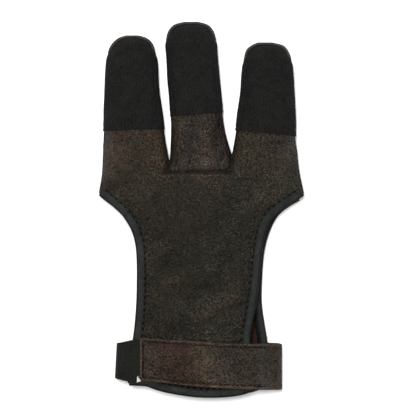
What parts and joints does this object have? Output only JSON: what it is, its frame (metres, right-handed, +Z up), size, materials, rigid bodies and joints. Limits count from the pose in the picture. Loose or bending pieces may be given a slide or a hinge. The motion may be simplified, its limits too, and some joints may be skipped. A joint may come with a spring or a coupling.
{
  "type": "archery glove",
  "caption": "Leather archery glove lying palm down, with ribbed fingertip stalls, bound open sides and a hook-and-loop wrist strap.",
  "frame": {"origin": "on the surface it lies on, below the middle of the glove's bounding box", "axes": "+Y from the wrist towards the fingertips, +X to the right of the back of the hand seen from above, +Z up out of the back of the hand"},
  "size_m": [0.1132, 0.2072, 0.0177],
  "materials": {
    "leather": "dark brown grained leather, slightly waxy",
    "strap_leather": "dark brown grained leather with paler cut edges",
    "ribbed_fabric": "black finely ribbed woven fabric, dull",
    "binding_tape": "smooth black bias tape with a soft sheen",
    "elastic": "black ribbed elastic webbing",
    "hook_and_loop": "cream hook-and-loop tape, napped"
  },
  "bodies": {
    "root": {"palm_panel": "leather", "back_panel": "leather", "middle_finger_back": "leather", "stall_left": "ribbed_fabric", "stall_middle": "ribbed_fabric", "stall_right": "ribbed_fabric", "binding_back_left": "binding_tape", "binding_back_right": "binding_tape", "binding_back_hem": "binding_tape", "binding_palm_left": "binding_tape", "binding_palm_right": "binding_tape", "strap": "strap_leather", "elastic_band": "elastic", "fastener_patch": "hook_and_loop"}
  },
  "joints": []
}
